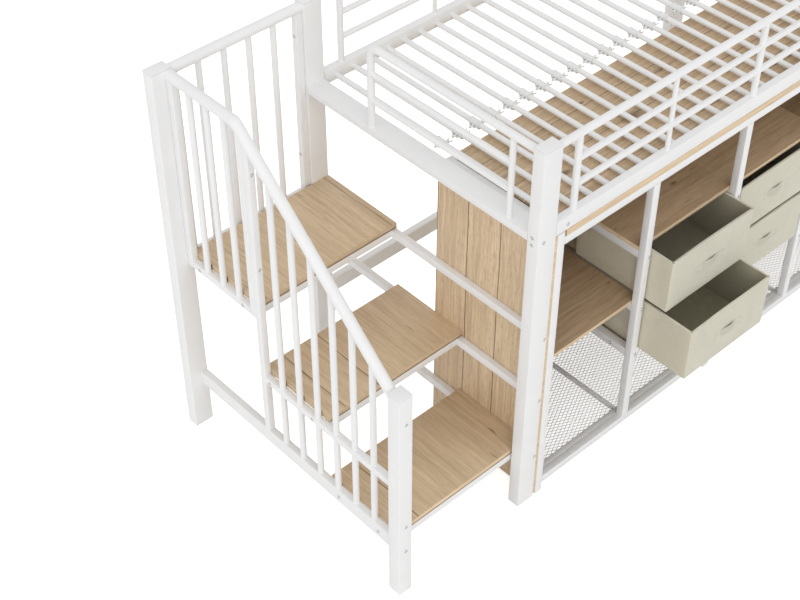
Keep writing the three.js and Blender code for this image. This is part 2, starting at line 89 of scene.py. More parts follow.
class Finish:
    """A material, with short calls that add and join its nodes."""

    def __init__(self, name, roughness, metallic=0.0):
        self.material = bpy.data.materials.new(name)
        self.material.use_nodes = True
        self.tree = self.material.node_tree
        self.surface = self.tree.nodes["Principled BSDF"]
        self.surface.inputs["Roughness"].default_value = roughness
        self.surface.inputs["Metallic"].default_value = metallic

    def add(self, kind, inputs=None, **settings):
        node = self.tree.nodes.new(kind)
        for key, value in settings.items():
            setattr(node, key, value)
        for key, value in (inputs or {}).items():
            if isinstance(value, bpy.types.NodeSocket):
                self.tree.links.new(value, node.inputs[key])
            else:
                node.inputs[key].default_value = value
        return node

    def place(self):
        return self.add("ShaderNodeTexCoord").outputs["Object"]

    def maths(self, operation, *values):
        node = self.add("ShaderNodeMath", operation=operation)
        for socket, value in zip(node.inputs, values):
            if isinstance(value, bpy.types.NodeSocket):
                self.tree.links.new(value, socket)
            else:
                socket.default_value = value
        return node.outputs[0]

    def noise(self, vector, scale, detail=2.0, roughness=0.5):
        inputs = {"Vector": vector, "Scale": scale, "Detail": detail, "Roughness": roughness}
        return self.add("ShaderNodeTexNoise", inputs).outputs["Fac"]

    def stretch(self, vector, scale):
        return self.add("ShaderNodeMapping", {"Vector": vector, "Scale": scale}).outputs["Vector"]

    def ramp(self, factor, *stops):
        node = self.add("ShaderNodeValToRGB", {"Fac": factor})
        elements = node.color_ramp.elements
        while len(elements) < len(stops):
            elements.new(0.5)
        for element, (position, color) in zip(elements, stops):
            element.position = position
            element.color = (*color, 1.0)
        return node.outputs["Color"]

    def span(self, value, low, high, to_low=0.0, to_high=1.0):
        inputs = {"Value": value, "From Min": low, "From Max": high, "To Min": to_low, "To Max": to_high}
        return self.add("ShaderNodeMapRange", inputs).outputs["Result"]

    def tint(self, factor, first, second):
        node = self.add("ShaderNodeMix", data_type="RGBA")
        for key, value in (("Factor", factor), ("A", first), ("B", second)):
            socket = [entry for entry in node.inputs if entry.name == key and entry.enabled][0]
            if isinstance(value, bpy.types.NodeSocket):
                self.tree.links.new(value, socket)
            else:
                socket.default_value = value
        return [entry for entry in node.outputs if entry.enabled][0]

    def color(self, socket):
        self.tree.links.new(socket, self.surface.inputs["Base Color"])

    def roughen(self, socket):
        self.tree.links.new(socket, self.surface.inputs["Roughness"])

    def bump(self, height, distance, strength=1.0):
        inputs = {"Height": height, "Distance": distance, "Strength": strength}
        node = self.add("ShaderNodeBump", inputs)
        self.tree.links.new(node.outputs["Normal"], self.surface.inputs["Normal"])


def powder_coat(name, pale, dull):
    """Sprayed and baked paint: an even white with a faint orange peel and slightly uneven gloss."""
    finish = Finish(name, 0.42)
    place = finish.place()
    cloud = finish.noise(place, 9.0, 3.0)
    finish.color(finish.ramp(cloud, (0.3, dull), (0.7, pale)))
    peel = finish.noise(place, 520.0, 2.0)
    finish.roughen(finish.span(finish.noise(place, 46.0, 3.0), 0.3, 0.7, 0.38, 0.5))
    finish.bump(peel, 0.00022, 0.35)
    return finish.material


OAK_PALE = (0.79, 0.617, 0.418)
OAK_TAN = (0.672, 0.507, 0.332)
OAK_BROWN = (0.41, 0.28, 0.165)
OAK_OLIVE = (0.60, 0.474, 0.306)
FLAW_BROWN = (0.12, 0.075, 0.04, 1.0)
JOINT_AND_SHADOW_BROWN = (0.11, 0.066, 0.036, 1.0)
KNOT_BROWN = (0.16, 0.1, 0.058, 1.0)
FOOT_SHADOW_BROWN = (0.24, 0.16, 0.09, 1.0)


def oak(
    name, along, across, plank, shift, joints,
    seam=1.8, figure=0.1, shade=(1, 1, 1), underside=None, clear=None, flaws=0.13, dashes=0.25, knots=(),
):
    """Pale oak foil: planks of one width with dark joints, long streaks, arched grain and fine pores.

    Between the two places of clear the joints are too faint to be seen. Each knot is given by its place
    along and across the planks and its half width. Underside is the height of a board's foot; the lowest
    few millimetres of its edge above it are darkened as a painted shadow line.
    """
    finish = Finish(name, 0.55)
    axes = finish.add("ShaderNodeSeparateXYZ", {"Vector": finish.place()})
    through = ({"X", "Y", "Z"} - {along, across}).pop()
    run = axes.outputs[along]
    side = finish.maths("ADD", axes.outputs[across], shift)
    wander = finish.noise(finish.stretch(finish.place(), (5.0, 5.0, 5.0)), 1.0, 2.0)
    bent = finish.maths("ADD", side, finish.span(wander, 0.0, 1.0, -0.006, 0.006))
    number = finish.maths("FLOOR", finish.maths("DIVIDE", bent, plank))
    share = finish.maths("FRACT", finish.maths("DIVIDE", bent, plank))
    chance = finish.add("ShaderNodeTexWhiteNoise", {"W": number}, noise_dimensions="1D").outputs["Value"]
    run = finish.maths("ADD", run, finish.maths("MULTIPLY", chance, 7.0))
    grain = finish.add("ShaderNodeCombineXYZ", {"X": run, "Y": bent, "Z": axes.outputs[through]})
    grain = grain.outputs["Vector"]

    band = finish.noise(finish.stretch(grain, (1.3, 19.0, 19.0)), 1.0, 3.0, 0.55)
    cloud = finish.noise(finish.stretch(grain, (3.0, 9.0, 9.0)), 1.0, 3.0, 0.5)
    arch = finish.add(
        "ShaderNodeTexWave",
        {
            "Vector": finish.stretch(grain, (0.45, 5.0, 5.0)),
            "Scale": 2.2,
            "Distortion": 14.0,
            "Detail": 4.0,
            "Detail Scale": 0.8,
            "Detail Roughness": 0.6,
        },
        wave_type="BANDS",
        bands_direction="Y",
    ).outputs["Fac"]
    streak = finish.noise(finish.stretch(grain, (3.2, 105.0, 105.0)), 1.0, 4.0, 0.62)
    hair = finish.noise(finish.stretch(grain, (9.0, 330.0, 330.0)), 1.0, 3.0, 0.6)
    dash = finish.noise(finish.stretch(grain, (34.0, 190.0, 190.0)), 1.0, 2.0, 0.6)
    pore = finish.noise(finish.stretch(grain, (28.0, 900.0, 900.0)), 1.0, 2.0, 0.7)

    pale, tan, brown, olive = [
        tuple(part * share for part, share in zip(color, shade))
        for color in (OAK_PALE, OAK_TAN, OAK_BROWN, OAK_OLIVE)
    ]
    base = finish.ramp(band, (0.34, tan), (0.5, pale), (0.68, tan))
    base = finish.tint(finish.span(cloud, 0.36, 0.64, 0.0, 0.5), base, (*olive, 1.0))
    base = finish.tint(finish.span(arch, 0.2, 1.0, 0.0, figure), base, (*brown, 1.0))
    base = finish.tint(finish.span(streak, 0.46, 0.7, 0.0, 0.5), base, (*brown, 1.0))
    base = finish.tint(finish.span(streak, 0.46, 0.3, 0.0, 0.34), base, (*pale, 1.0))
    base = finish.tint(finish.span(hair, 0.5, 0.68, 0.0, 0.6), base, (*brown, 1.0))
    base = finish.tint(finish.span(dash, 0.52, 0.68, 0.0, dashes), base, (*brown, 1.0))
    base = finish.tint(finish.span(pore, 0.56, 0.75, 0.0, 0.35), base, (*brown, 1.0))
    base = finish.tint(finish.span(chance, 0.0, 1.0, 0.0, 0.3), base, (*tan, 1.0))

    flaw_place = finish.stretch(grain, (5.0, 22.0, 22.0))
    flaw = finish.add(
        "ShaderNodeTexVoronoi", {"Vector": flaw_place, "Scale": 1.0, "Randomness": 1.0}
    ).outputs["Distance"]
    crack = finish.maths("MULTIPLY", finish.span(flaw, flaws, 0.03), finish.span(streak, 0.42, 0.6))
    base = finish.tint(finish.maths("MULTIPLY", crack, 0.75), base, FLAW_BROWN)

    edge = finish.maths("ABSOLUTE", finish.maths("SUBTRACT", share, 0.5))
    width = seam * MM / plank
    joint_and_shadow = finish.span(edge, 0.5 - width, 0.5 - width * 0.4)
    patch = finish.noise(finish.stretch(grain, (5.0, 3.0, 3.0)), 1.0, 2.0)
    joint_and_shadow = finish.maths("MULTIPLY", joint_and_shadow, finish.span(patch, 0.42, 0.56, joints, 0.95))
    if clear is not None:
        past = finish.maths("GREATER_THAN", axes.outputs[across], clear[0])
        short = finish.maths("LESS_THAN", axes.outputs[across], clear[1])
        hidden = finish.maths("MULTIPLY", finish.maths("MULTIPLY", past, short), 0.93)
        joint_and_shadow = finish.maths("MULTIPLY", joint_and_shadow, finish.maths("SUBTRACT", 1.0, hidden))
    # Dark joints between planks; on the step ends these seams are painted shadows of the balusters.
    base = finish.tint(joint_and_shadow, base, JOINT_AND_SHADOW_BROWN)
    for knot_run, knot_side, knot_size in knots:
        lengthwise = finish.maths("MULTIPLY", finish.maths("SUBTRACT", axes.outputs[along], knot_run), 0.5)
        sideways = finish.maths("SUBTRACT", bent, knot_side + shift)
        squares = [finish.maths("POWER", distance, 2.0) for distance in (lengthwise, sideways)]
        away = finish.maths("SQRT", finish.maths("ADD", *squares))
        away = finish.maths("ADD", away, finish.span(hair, 0.3, 0.7, -0.004, 0.004))
        heart = finish.span(away, knot_size, knot_size * 0.3, 0.0, 0.85)
        base = finish.tint(heart, base, KNOT_BROWN)
    # Painted shadow line along the foot of a board's edge.
    if underside is not None:
        foot = finish.span(axes.outputs["Z"], underside + 0.009, underside + 0.006, 0.0, 0.85)
        base = finish.tint(foot, base, FOOT_SHADOW_BROWN)
    finish.color(base)
    finish.roughen(finish.span(streak, 0.3, 0.7, 0.48, 0.62))
    relief = finish.maths("SUBTRACT", finish.maths("MULTIPLY", streak, 0.5), joint_and_shadow)
    relief = finish.maths("SUBTRACT", relief, finish.maths("MULTIPLY", finish.span(pore, 0.55, 0.7), 0.5))
    finish.bump(relief, 0.0003, 0.6)
    return finish.material


def linen(name, light, dark, thread=0.0011):
    """Plain woven cloth: crossed threads with slubs, in two close tones."""
    finish = Finish(name, 0.92)
    place = finish.place()
    swirl = finish.noise(place, 260.0, 2.0)
    weave = []
    for direction in ("X", "Y", "Z"):
        wave = finish.add(
            "ShaderNodeTexWave",
            {"Vector": place, "Scale": 0.314 / thread, "Distortion": 1.1, "Detail": 1.0, "Detail Scale": 4.0},
            wave_type="BANDS",
            bands_direction=direction,
        )
        weave.append(wave.outputs["Fac"])
    level = finish.maths("MULTIPLY", weave[2], finish.maths("MAXIMUM", weave[0], weave[1]))
    level = finish.maths("ADD", level, finish.maths("MULTIPLY", swirl, 0.5))
    slub_flat = finish.noise(finish.stretch(place, (30.0, 30.0, 620.0)), 1.0, 3.0)
    slub_up = finish.noise(finish.stretch(place, (620.0, 620.0, 22.0)), 1.0, 3.0)
    slub = finish.maths("MAXIMUM", slub_flat, slub_up)
    cloud = finish.noise(place, 7.0, 3.0)
    base = finish.ramp(finish.span(level, 0.1, 1.1), (0.0, dark), (1.0, light))
    bright = [min(1.0, part * 1.16) for part in light]
    base = finish.tint(finish.span(slub, 0.52, 0.72, 0.0, 0.5), base, (*bright, 1.0))
    base = finish.tint(finish.span(cloud, 0.35, 0.65, 0.0, 0.25), base, (*dark, 1.0))
    finish.color(base)
    finish.surface.inputs["Sheen Weight"].default_value = 0.25
    finish.surface.inputs["Sheen Roughness"].default_value = 0.5
    finish.bump(finish.maths("ADD", level, slub), 0.0006, 0.7)
    return finish.material


def plated_steel(name, pale, dull, roughness):
    """Zinc plate: fine brushed scratches and patches of uneven shine."""
    finish = Finish(name, roughness, 1.0)
    place = finish.place()
    scratch = finish.noise(finish.stretch(place, (400.0, 400.0, 2600.0)), 1.0, 3.0)
    finish.color(finish.ramp(scratch, (0.35, dull), (0.65, pale)))
    finish.roughen(finish.span(finish.noise(place, 300.0, 3.0), 0.3, 0.7, roughness - 0.08, roughness + 0.12))
    finish.bump(scratch, 0.0001, 0.3)
    return finish.material


def moulded(name, pale, dull, roughness):
    """Moulded plastic: a fine matt grain."""
    finish = Finish(name, roughness)
    place = finish.place()
    finish.color(finish.ramp(finish.noise(place, 60.0, 3.0), (0.3, dull), (0.7, pale)))
    finish.bump(finish.noise(place, 1900.0, 2.0), 0.0001, 0.4)
    return finish.material


WHITE_PAINT = powder_coat("white_powder_coat", (0.875, 0.875, 0.872), (0.85, 0.85, 0.848))
STEP_OAK = {
    1: oak("oak_step_low", "Y", "X", 0.140, -0.013, 0.55, seam=2.4, figure=0.16, clear=(-1.05, 0)),
    2: oak("oak_step_middle", "Y", "X", 0.140, 0.009, 0.35, seam=2.6, figure=0.12, clear=(-0.92, 0)),
    3: oak(
        "oak_step_high", "Y", "X", 0.130, -0.001, 0.3, seam=2.0, figure=0.16, shade=(1.05, 1.05, 1.05),
        clear=(-1.1, -0.69),
    ),
}
# Each step's edge band is one foil made lighter or darker per step as painted light and shade, with a painted
# shadow line at its foot.
STEP_EDGE_PAINTED_LIGHT = {
    step: oak(
        f"oak_step_edge_painted_light_{step}", "X", "Z", 0.5, 0.2, 0.0, figure=0.05, shade=(tone, tone, tone),
        underside=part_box(f"step_board_{step}")[0][2],
    )
    for step, tone in ((1, 1.24), (2, 1.05), (3, 0.96))
}
# The dark seams on the step ends are painted contact shadows of the balusters, one beside each baluster.
STEP_END_BALUSTER_SHADOWS = {
    1: oak("oak_step_end_shadowed_low", "X", "Y", 0.0863, 0.0261, 0.95, seam=5.0),
    2: oak("oak_step_end_shadowed_middle", "X", "Y", 0.0863, 0.0261, 0.95, seam=5.0),
    3: oak("oak_step_end_shadowed_high", "X", "Y", 0.0799, 0.0634, 0.95, seam=5.0),
}
TOP_KNOTS = [
    (-0.0275, -0.192, 0.026),
    (-0.0914, -0.0316, 0.008),
    (-0.0909, -0.2118, 0.007),
    (-0.3892, -0.2444, 0.014),
    (0.412, -0.116, 0.016),
]
# The top board's oak is made a little darker as painted shade from the slats above it.
TOP_OAK = oak(
    "oak_top", "X", "Y", 0.137, 0.047, 0.35, figure=0.25, shade=(0.94, 0.93, 0.92), flaws=0.3, dashes=0.4,
    knots=TOP_KNOTS,
)
# The shelves' oak is darker than the other boards' as painted shade inside the unit.
SHADED_SHELF_OAK = oak(
    "oak_shelf", "X", "Y", 0.196, 0.047, 0.1, figure=0.12, shade=(0.765, 0.71, 0.66), clear=(-1.0, 1.0),
    knots=[(0.1449, -0.2632, 0.009), (-0.1737, -0.2937, 0.004)],
)
PANEL_OAK = oak("oak_panel", "Z", "Y", 0.137, 0.0765, 0.8, seam=2.6, shade=(1.1, 1.1, 1.12), dashes=0.5)
BACK_OAK = oak("oak_back", "Z", "X", 0.137, 0.084, 0.8, seam=2.6, dashes=0.5)
# Darker oak for board faces inside the unit and for the top board's ends: painted shade.
SHADED_INSIDE_OAK = oak(
    "oak_inside_shaded", "Z", "X", 0.137, 0.084, 0.5, seam=2.6, figure=0.12, shade=(0.4, 0.34, 0.27),
)
# Edge band foil, made paler than the board faces as a painted highlight on the edges.
EDGE_OAK_HIGHLIGHT = oak("oak_edge_band_highlight", "X", "Z", 0.5, 0.2, 0.0, figure=0.05, shade=(1.14, 1.14, 1.14))
LINEN = linen("drawer_linen", (0.8, 0.768, 0.635), (0.67, 0.638, 0.512))
# A darker, more olive copy of the drawer linen: painted shade and warm bounce from the wood on the side
# walls.
SHADED_SIDE_LINEN = linen("drawer_side_linen_shaded", (0.8, 0.748, 0.585), (0.67, 0.62, 0.475))
INSIDE_LINEN = linen("drawer_inside_linen", (0.55, 0.51, 0.375), (0.43, 0.4, 0.285))
THREAD = linen("sewing_thread", (0.76, 0.73, 0.62), (0.6, 0.57, 0.475), 0.0004)
STEEL = plated_steel("zinc_plate", (0.62, 0.62, 0.63), (0.48, 0.48, 0.49), 0.36)
DARK_STEEL = plated_steel("screw_steel", (0.42, 0.42, 0.42), (0.3, 0.3, 0.3), 0.45)
SLEEVE_PLASTIC = moulded("sleeve_plastic", (0.84, 0.845, 0.84), (0.79, 0.795, 0.79), 0.5)
GLIDE_PLASTIC = moulded("glide_plastic", (0.7, 0.7, 0.69), (0.64, 0.64, 0.63), 0.6)
RUNNER_PLASTIC = moulded("runner_plastic", (0.3, 0.245, 0.185), (0.25, 0.2, 0.15), 0.6)


# Shapes


def edges_at(verts):
    """The edges that meet the verts, each once and always in one order."""
    return list(dict.fromkeys(edge for vert in verts for edge in vert.link_edges))


def add_box(mesh, low, high):
    """A sharp box between two corners. Gives back its edges."""
    low, high = at(*low), at(*high)
    shape = Matrix.Translation((low + high) / 2) @ Matrix.Diagonal((*(high - low), 1.0))
    return edges_at(bmesh.ops.create_cube(mesh, size=1.0, matrix=shape)["verts"])


def along_axis(edges, axis):
    return [edge for edge in edges if abs((edge.verts[0].co - edge.verts[1].co)[axis]) > 1e-6]


def round_off(mesh, edges, radius, segments):
    bmesh.ops.bevel(
        mesh, geom=edges, offset=radius * MM, segments=segments, profile=0.5, affect="EDGES", material=-1
    )


def only(kind, geometry):
    return [item for item in geometry if isinstance(item, kind)]


def whole(mesh):
    return mesh.verts[:] + mesh.edges[:] + mesh.faces[:]


def standing(place, heading):
    """The matrix that stands a shape at a place, with its own height along the heading."""
    return Matrix.Translation(place) @ heading.to_track_quat("Z", "Y").to_matrix().to_4x4()


def add_block(mesh, low, high, edge=BOARD_EDGE, segments=2):
    """A block between two corners, with every edge rounded."""
    round_off(mesh, add_box(mesh, low, high), edge, segments)


def add_tube(mesh, low, high, corner=TUBE_CORNER):
    """A square tube along its longest side, with rounded corners and flat ends."""
    size = Vector(high) - Vector(low)
    axis = max(range(3), key=lambda index: size[index])
    long_edges = along_axis(add_box(mesh, low, high), axis)
    round_off(mesh, long_edges, min(corner, 0.3 * min(size)), 3)


def add_bar(mesh, start, end, diameter, sides=ROUND_SIDES, end_diameter=None):
    """A straight round bar, or a cone where its end has another diameter."""
    start, end = at(*start), at(*end)
    run = end - start
    bmesh.ops.create_cone(
        mesh,
        cap_ends=True,
        segments=sides,
        radius1=diameter / 2 * MM,
        radius2=(end_diameter or diameter) / 2 * MM,
        depth=run.length,
        matrix=standing((start + end) / 2, run),
    )


def add_weld(mesh, x, y, foot, diameter):
    """The small bead round an upright's foot, given the upright's diameter."""
    tip = (x, y, foot + WELD_HEIGHT)
    add_bar(mesh, (x, y, foot), tip, diameter + WELD_FOOT, THIN_SIDES, diameter + WELD_TIP)


def add_upright(mesh, x, y, foot, top, diameter):
    """A round upright with a weld bead at its foot."""
    add_bar(mesh, (x, y, foot), (x, y, top), diameter)
    add_weld(mesh, x, y, foot, diameter)


def add_bent_bar(mesh, points, radius, diameter):
    """A round bar through the points, bent to one radius at each corner."""
    points = [at(*point) for point in points]
    heading = (points[1] - points[0]).normalized()
    ring = bmesh.ops.create_circle(
        mesh,
        cap_ends=True,
        segments=ROUND_SIDES,
        radius=diameter / 2 * MM,
        matrix=standing(points[0], heading),
    )
    edges = edges_at(ring["verts"])
    here = points[0]
    for index in range(1, len(points)):
        last = index == len(points) - 1
        heading = (points[index] - points[index - 1]).normalized()
        onward = heading if last else (points[index + 1] - points[index]).normalized()
        sweep = heading.angle(onward) if not last else 0.0
        stop = points[index] - heading * (radius * MM * math.tan(sweep / 2))
        made = bmesh.ops.extrude_edge_only(mesh, edges=edges)["geom"]
        verts = only(bmesh.types.BMVert, made)
        edges = only(bmesh.types.BMEdge, made)
        edges = [edge for edge in edges if edge.verts[0] in verts and edge.verts[1] in verts]
        bmesh.ops.translate(mesh, verts=verts, vec=stop - here)
        here = stop
        if last:
            break
        axis = heading.cross(onward).normalized()
        centre = stop + axis.cross(heading) * (radius * MM)
        made = bmesh.ops.spin(
            mesh,
            geom=verts + edges,
            cent=centre,
            axis=axis,
            angle=sweep,
            steps=BEND_STEPS,
            use_duplicate=False,
        )["geom_last"]
        edges = only(bmesh.types.BMEdge, made)
        here = points[index] + onward * (radius * MM * math.tan(sweep / 2))
    bmesh.ops.edgeloop_fill(mesh, edges=edges)
    bmesh.ops.recalc_face_normals(mesh, faces=mesh.faces)


def trim(mesh, point, outward):
    """Cuts off what lies past a plane and closes the cut."""
    cut = bmesh.ops.bisect_plane(
        mesh, geom=whole(mesh), plane_co=at(*point), plane_no=outward, clear_outer=True
    )
    bmesh.ops.edgeloop_fill(mesh, edges=only(bmesh.types.BMEdge, cut["geom_cut"]))
    bmesh.ops.recalc_face_normals(mesh, faces=mesh.faces)


def piece(name, mesh, materials, body="frame", nodes=(), crease=32.0):
    """Turns a mesh into a piece of the bed that rides on a body and stands for the named solids."""
    for face in mesh.faces:
        face.smooth = True
    data = bpy.data.meshes.new(name)
    mesh.to_mesh(data)
    mesh.free()
    data.set_sharp_from_angle(angle=math.radians(crease))
    for material in materials:
        data.materials.append(material)
    made = bpy.data.objects.new(name, data)
    bpy.context.scene.collection.objects.link(made)
    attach(made, body)
    if nodes:
        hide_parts(*nodes)


def painted(name, mesh, nodes=()):
    piece(name, mesh, [WHITE_PAINT], nodes=nodes)


def make_tube(name, corner=TUBE_CORNER):
    """A painted square tube of a solid's own size."""
    mesh = bmesh.new()
    add_tube(mesh, *node_box(name), corner)
    painted(f"{name}_tube", mesh, [name])


# Camera, light and floor


CAMERA_PLACE = (-2539.4, -2185.1, 4048.8)
CAMERA_DOWN = 42.97
CAMERA_TURN = 47.46
CAMERA_LENS = 69.77
SKY_ON_THE_BED = 0.78
SKY_SEEN = 1.0
LAMPS = (
    ("key_light", 0.5, 50.0, (0.36, 0.8, -0.36)),
    ("high_light", 0.06, 60.0, (0.3, 0.55, -0.78)),
    ("side_light", 0.34, 60.0, (0.85, 0.25, -0.35)),
)
FLOOR_TONE = 0.9
FLOOR_TONE_MIRRORED = 1.3
FLOOR_TONE_SEEN = 1.15
FLOOR_GLOW = 0.62


def set_camera():
    data = bpy.data.cameras.new("photo_camera")
    data.sensor_width = 36.0
    data.lens = CAMERA_LENS
    data.clip_end = 60.0
    camera = bpy.data.objects.new("photo_camera", data)
    camera.location = at(*CAMERA_PLACE)
    camera.rotation_euler = (math.radians(90 - CAMERA_DOWN), 0.0, math.radians(CAMERA_TURN - 90))
    bpy.context.scene.collection.objects.link(camera)
    bpy.context.scene.camera = camera


def either(tree, first, second):
    """1 where one of two ray kinds is met."""
    node = tree.nodes.new("ShaderNodeMath")
    node.operation = "MAXIMUM"
    tree.links.new(first, node.inputs[0])
    tree.links.new(second, node.inputs[1])
    return node.outputs[0]


def ray_kinds(tree):
    """Whether a ray comes straight from the camera, and whether it was mirrored or went through glass."""
    path = tree.nodes.new("ShaderNodeLightPath")
    mirrored = either(tree, path.outputs["Is Glossy Ray"], path.outputs["Is Transmission Ray"])
    return path.outputs["Is Camera Ray"], mirrored


def matt(tree, level):
    tone = tree.nodes.new("ShaderNodeBsdfDiffuse")
    tone.inputs["Color"].default_value = (level, level, level, 1.0)
    return tone.outputs[0]


def set_light():
    world = bpy.data.worlds.new("studio")
    bpy.context.scene.world = world
    world.use_nodes = True
    tree = world.node_tree
    background = tree.nodes["Background"]
    background.inputs["Color"].default_value = (1.0, 1.0, 1.0, 1.0)
    seen = either(tree, *ray_kinds(tree))
    level = tree.nodes.new("ShaderNodeMapRange")
    level.inputs["To Min"].default_value = SKY_ON_THE_BED
    level.inputs["To Max"].default_value = SKY_SEEN
    tree.links.new(seen, level.inputs["Value"])
    tree.links.new(level.outputs["Result"], background.inputs["Strength"])
    for name, strength, spread, toward in LAMPS:
        data = bpy.data.lights.new(name, "SUN")
        data.energy = strength
        data.angle = math.radians(spread)
        lamp = bpy.data.objects.new(name, data)
        lamp.rotation_euler = Vector(toward).to_track_quat("-Z", "Y").to_euler()
        bpy.context.scene.collection.objects.link(lamp)
    bpy.context.scene.view_settings.view_transform = "Standard"


def set_floor():
    mesh = bmesh.new()
    bmesh.ops.create_grid(mesh, x_segments=1, y_segments=1, size=14.0)
    data = bpy.data.meshes.new("studio_floor")
    mesh.to_mesh(data)
    mesh.free()
    floor = bpy.data.objects.new("studio_floor", data)
    bpy.context.scene.collection.objects.link(floor)
    material = bpy.data.materials.new("pale_floor")
    material.use_nodes = True
    tree = material.node_tree
    tree.nodes.remove(tree.nodes["Principled BSDF"])
    glow = tree.nodes.new("ShaderNodeEmission")
    glow.inputs["Strength"].default_value = FLOOR_GLOW
    bright = tree.nodes.new("ShaderNodeAddShader")
    tree.links.new(glow.outputs[0], bright.inputs[0])
    tree.links.new(matt(tree, FLOOR_TONE_SEEN), bright.inputs[1])
    straight, mirrored = ray_kinds(tree)
    surface = matt(tree, FLOOR_TONE)
    for share, tone in ((mirrored, matt(tree, FLOOR_TONE_MIRRORED)), (straight, bright.outputs[0])):
        mix = tree.nodes.new("ShaderNodeMixShader")
        tree.links.new(share, mix.inputs["Fac"])
        tree.links.new(surface, mix.inputs[1])
        tree.links.new(tone, mix.inputs[2])
        surface = mix.outputs[0]
    tree.links.new(surface, tree.nodes["Material Output"].inputs["Surface"])
    data.materials.append(material)


# Posts and rails of the bed


CAP_THICK = 4.0
CAP_GAP = 0.4
GLIDE_THICK = 5.0
GLIDE_INSET = 1.2
DIVIDER_GLIDE = 28


def make_posts():
    caps = bmesh.new()
    glides = bmesh.new()
    names = ("post_front_left", "post_back_left", "post_front_right", "post_back_right", "stair_post_back")
    for name in (*names, "stair_newel"):
        low, high = node_box(name)
        mesh = bmesh.new()
        add_tube(mesh, low + Vector((0, 0, GLIDE_THICK)), high - Vector((0, 0, CAP_THICK)), POST_CORNER)
        painted(f"{name}_tube", mesh, [name])
        add_block(caps, (low.x, low.y, high.z - CAP_THICK + CAP_GAP), high, 1.6, 3)
        inset = Vector((GLIDE_INSET, GLIDE_INSET, 0))
        add_block(glides, low + inset, (high.x - GLIDE_INSET, high.y - GLIDE_INSET, GLIDE_THICK), 1.2)
    for name in ("unit_divider_1", "unit_divider_3", "unit_divider_5"):
        low, high = node_box(name)
        middle = (low.x + high.x) / 2
        half = DIVIDER_GLIDE / 2 - GLIDE_INSET
        for front, back in (UNIT_FRONT, UNIT_REAR):
            corner = (middle - half, front + GLIDE_INSET, 0.0)
            add_block(glides, corner, (middle + half, back - GLIDE_INSET, GLIDE_THICK), 1.2)
    painted("post_caps", caps)
    piece("foot_glides", glides, [GLIDE_PLASTIC])


def make_rails():
    names = ("end_rail_left", "end_rail_right", "long_rail_front", "long_rail_back", "lower_rail_back")
    for name in (*names, "lower_rail_right", "stair_side_rail"):
        make_tube(name)
    for step in STEPS:
        for name in (f"step_stringer_{step}", f"step_tube_front_{step}", f"step_tube_back_{step}"):
            make_tube(name, THIN_TUBE_CORNER)


# Slats, each of two tubes that meet in a plastic sleeve


SLAT = 20.0
FRONT_SLAT = 19.0
SLAT_GAP = 2
FIRST_SLAT = 124
SLAT_PITCH = 74.25
SLAT_COUNT = 24
PLATE_DROP = 4.0
PLATE_THICK = 4.5
# Rings of a sleeve: front and back from the middle of the slat, and how much wider than the slat.
SLEEVE_RINGS = ((-10, 25, 6.0), (-13, -9, 9.0), (22, 27, 7.5))
# Flat parts of a sleeve, by left, right, front and back: a screwed plate, its ear, an arm and two prongs.
SLEEVE_PLATES = ((-23, -10, -9, 17), (-32, -22, 1, 8), (11, 25, -7, 5), (22, 33, -10, -5.5), (22, 33, 4, 8.5))
# Screws of a sleeve: across and along the slat, height of the head, and its width at the foot and at the top.
SLEEVE_SCREWS = (
    (-17.5, -3, 1.4, 7.0, 5.6),
    (-17.5, 11, 1.4, 7.0, 5.6),
    (-29, 4.5, 0.8, 4.2, 3.4),
    (18, -2, 0.8, 4.2, 3.4),
)


def make_slats():
    low, high = node_box("slat_grid")
    height = high.z - SLAT / 2
    middle = (low.y + high.y) / 2
    front = bmesh.new()
    back = bmesh.new()
    sleeves = bmesh.new()
    screws = bmesh.new()
    for number in range(SLAT_COUNT):
        x = FIRST_SLAT + SLAT_PITCH * number
        add_bar(front, (x, low.y, height), (x, middle - SLAT_GAP / 2, height), FRONT_SLAT, THIN_SIDES)
        add_bar(back, (x, middle + SLAT_GAP / 2, height), (x, high.y, height), SLAT, THIN_SIDES)
        add_sleeve(sleeves, screws, x, middle, height)
    painted("slats_front", front, ["slat_grid"])
    painted("slats_back", back)
    piece("slat_sleeves", sleeves, [SLEEVE_PLASTIC])
    piece("slat_screws", screws, [DARK_STEEL])


def add_sleeve(sleeves, screws, x, middle, height):
    for front, back, wider in SLEEVE_RINGS:
        add_bar(sleeves, (x, middle + front, height), (x, middle + back, height), SLAT + wider)
    base = height - PLATE_DROP
    top = base + PLATE_THICK
    for left, right, front, back in SLEEVE_PLATES:
        add_block(sleeves, (x + left, middle + front, base), (x + right, middle + back, top), 1.2)
    for across, along, head, foot_width, top_width in SLEEVE_SCREWS:
        spot = (x + across, middle + along)
        add_bar(screws, (*spot, top - 0.5), (*spot, top + head), foot_width, 12, top_width)


# Guards above the mattress


GUARD_BAR = 20.0
GUARD_TOP_BAR = 25.0
GUARD_UPRIGHT = 22.0
GUARD_STRUT = 16.0
GUARD_BEND = 42
LONG_GUARD_UPRIGHTS = [154 + 415 * number for number in range(5)]
LONG_GUARD_BARS = (1383, 1292.5)
END_GUARD_BARS = (1369, 1272)
END_GUARD_TOP = 1466
END_GUARD_NEAR = 137
END_LOOP_FAR = 732


def make_long_guard(name, label):
    low, high = node_box(name)
    y = (low.y + high.y) / 2
    top = high.z - GUARD_TOP_BAR / 2
    uprights = LONG_GUARD_UPRIGHTS
    mesh = bmesh.new()
    add_bar(mesh, (low.x, y, top), (high.x, y, top), GUARD_TOP_BAR)
    for z in LONG_GUARD_BARS:
        add_bar(mesh, (uprights[0], y, z), (uprights[-1], y, z), GUARD_BAR)
    for number, x in enumerate(uprights):
        add_upright(mesh, x, y, low.z, top, GUARD_STRUT if number % 2 else GUARD_UPRIGHT)
    painted(label, mesh, [name])


